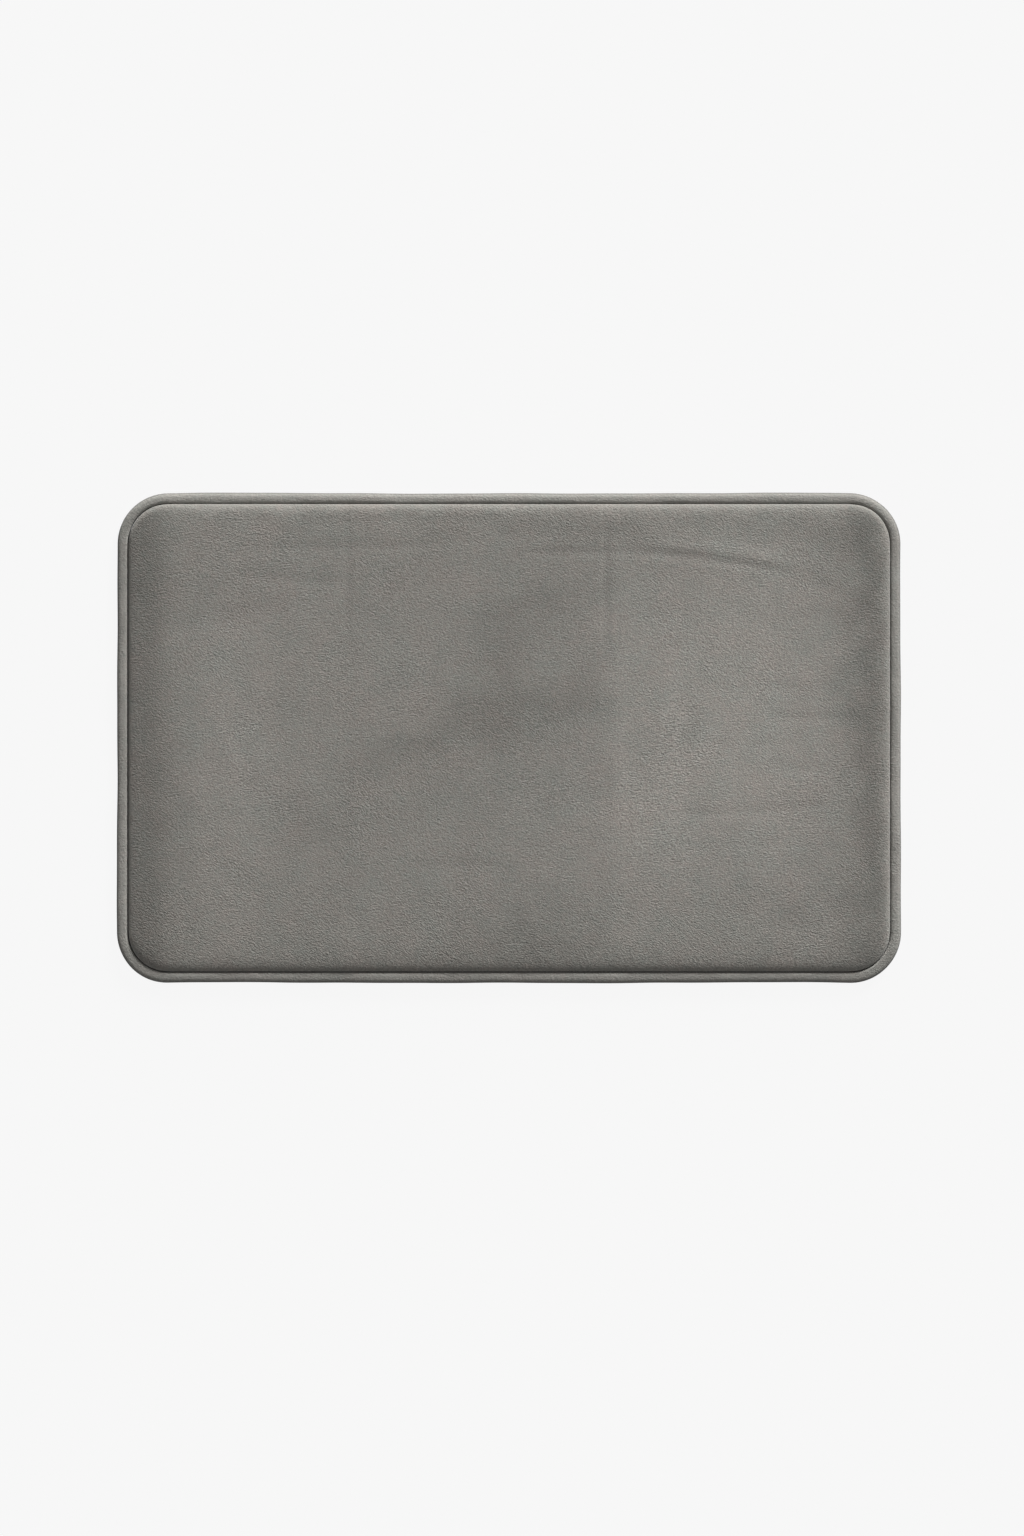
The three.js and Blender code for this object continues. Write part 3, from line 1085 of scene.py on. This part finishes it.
def rubber_material(name, colour):
    """Soft moulded rubber: a fine skin, slightly cloudy."""
    shader = Shader(name, roughness=0.5, specular=0.5)
    skin = shader.noise(*SKIN)
    clouds = shader.noise(*CLOUDS)
    level = shader.product(shader.spread(clouds, *CLOUD_RANGE), shader.vary(skin, SKIN_CONTRAST))
    shader.relief(skin, distance=0.1 * MM, strength=0.4)
    return shader.finish(shader.dim(colour, level), roughness=shader.spread(clouds, *CLOUD_ROUGHNESS))


# -------------------- studio

CAMERA_PLACE = (3.1 * MM, -30.6 * MM, 3.709)
CAMERA_LENS = 85
CAMERA_SENSOR = 36
CAMERA_REACH = 100
BACKDROP = 0.93
AMBIENT = 0.37
FLOOR_HALF = 20.0
WHITE = (1, 1, 1, 1)
FLOOR_GREY = (0.8, 0.8, 0.8, 1)
# How much of what the camera sees of the floor is really lit by the lamps.
FLOOR_SHADED = 0.02
# Azimuth (from +X) and elevation are where the light comes from, and spread is how wide it looks, all in
# degrees.
KEY_LIGHT = {"azimuth": 61, "elevation": 22, "strength": 5.82, "spread": 15.5}
RAKING_LIGHT = {"azimuth": 78, "elevation": 9, "strength": 2.56, "spread": 12}


def studio_camera():
    """Looks straight down at the mat, which lies a little above the middle of the picture."""
    camera = bpy.data.cameras.new("camera")
    camera.lens = CAMERA_LENS
    camera.sensor_width = CAMERA_SENSOR
    camera.clip_end = CAMERA_REACH
    holder = place("camera", camera)
    holder.location = CAMERA_PLACE
    bpy.context.scene.camera = holder


def seen_by_camera(tree, plain, shown):
    """One shader for what the camera sees and another for the light that it gives the object."""
    camera_sees = add_node(tree, "ShaderNodeLightPath").outputs["Is Camera Ray"]
    return add_node(tree, "ShaderNodeMixShader", {"Fac": camera_sees, 1: plain, 2: shown}).outputs[0]


def studio_world():
    """A pale surround, dimmer as a light than as a backdrop."""
    world = bpy.data.worlds.new("studio")
    tree = fresh_tree(world)
    shades = [
        add_node(tree, "ShaderNodeBackground", {"Color": WHITE, "Strength": level}).outputs[0]
        for level in (AMBIENT, BACKDROP)
    ]
    add_node(tree, "ShaderNodeOutputWorld", {"Surface": seen_by_camera(tree, *shades)})
    bpy.context.scene.world = world


def studio_floor():
    """A wide pale floor, evenly lit, that takes only a faint shadow."""
    half = FLOOR_HALF
    corners = [(-half, -half, 0), (half, -half, 0), (half, half, 0), (-half, half, 0)]
    floor = piece("floor", corners, [(0, 1, 2, 3)])
    material = bpy.data.materials.new("pale_floor")
    tree = fresh_tree(material)
    matt = add_node(tree, "ShaderNodeBsdfDiffuse", {"Color": FLOOR_GREY}).outputs[0]
    glow = add_node(tree, "ShaderNodeEmission", {"Strength": BACKDROP}).outputs[0]
    mix = add_node(tree, "ShaderNodeMixShader", {"Fac": FLOOR_SHADED, 1: glow, 2: matt}).outputs[0]
    add_node(tree, "ShaderNodeOutputMaterial", {"Surface": seen_by_camera(tree, matt, mix)})
    floor.data.materials.append(material)


def studio_light(name, azimuth, elevation, strength, spread):
    """Soft even light from far away, such as a large softbox gives."""
    lamp = bpy.data.lights.new(name, "SUN")
    lamp.energy = strength
    lamp.angle = math.radians(spread)
    holder = place(name, lamp)
    holder.rotation_euler = (math.radians(90 - elevation), 0, math.radians(azimuth + 90))


def studio():
    """The camera, the surround, the floor and the two lamps."""
    studio_camera()
    studio_world()
    studio_floor()
    studio_light("key", **KEY_LIGHT)
    studio_light("raking", **RAKING_LIGHT)
    bpy.context.scene.view_settings.view_transform = "Standard"


# -------------------- the mat

def dress(thing, material, replaces=()):
    """Gives a new piece its material, puts it under the root body, and hides the CAD nodes that it stands
    for.
    """
    thing.data.materials.append(material)
    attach(thing, "root")
    if replaces:
        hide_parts(*replaces)
    return thing


def carry_over(node, material):
    """Shows a CAD node as it is, with a material of its own."""
    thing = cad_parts[node]
    thing.data.materials.clear()
    thing.data.materials.append(material)
    return thing


studio()

plush = plush_material("panel_plush", PANEL_GREYS, clump=2.2 * MM, contrast=0.26, depth=1.5 * MM)
rim_plush = plush_material("rim_plush", RIM_GREYS, clump=2.2 * MM, contrast=0.18, depth=1.1 * MM)
sewing_thread = thread_material("sewing_thread", THREAD_GREY, twist=0.7 * MM)
base_weave = woven_material("base_weave", BASE_GREYS, pitch=0.9 * MM)
label_weave = woven_material("label_weave", TAPE_WHITES, pitch=0.35 * MM, roughness=0.55)
grip_rubber = rubber_material("grip_rubber", GRIP_WHITE)
memory_foam = foam_material("memory_foam", FOAM_CREAM, pore=0.8 * MM, hollow_shade=0.75)
sponge = foam_material("sponge", SPONGE_WHITE, pore=1.3 * MM, hollow_shade=0.65)
cotton = thread_material("cotton_cord", COTTON_CREAM, twist=3.0 * MM)

panel = dress(plush_panel(), plush, ["plush_cover"])
rim = dress(rolled_rim(), rim_plush, ["piping_cover"])
top_row = stitch_line("ditch_stitches", DITCH_STITCH_HEIGHT, rise=1)
ditch = dress(top_row, sewing_thread, ["ditch_thread"])
lower_row = stitch_line("bobbin_stitches", BOBBIN_STITCH_HEIGHT, rise=-1)
under = dress(lower_row, sewing_thread, ["bobbin_thread"])
base = dress(base_sheet(), base_weave, ["base_cloth"])
dots = dress(grip_dots(), grip_rubber, ["grip_coat"])
label = dress(care_label(), label_weave, ["care_label"])
bar = dress(label_stitches(), sewing_thread)
core = carry_over("foam_core", memory_foam)
ply = carry_over("sponge_ply", sponge)
cord = carry_over("piping_cord", cotton)
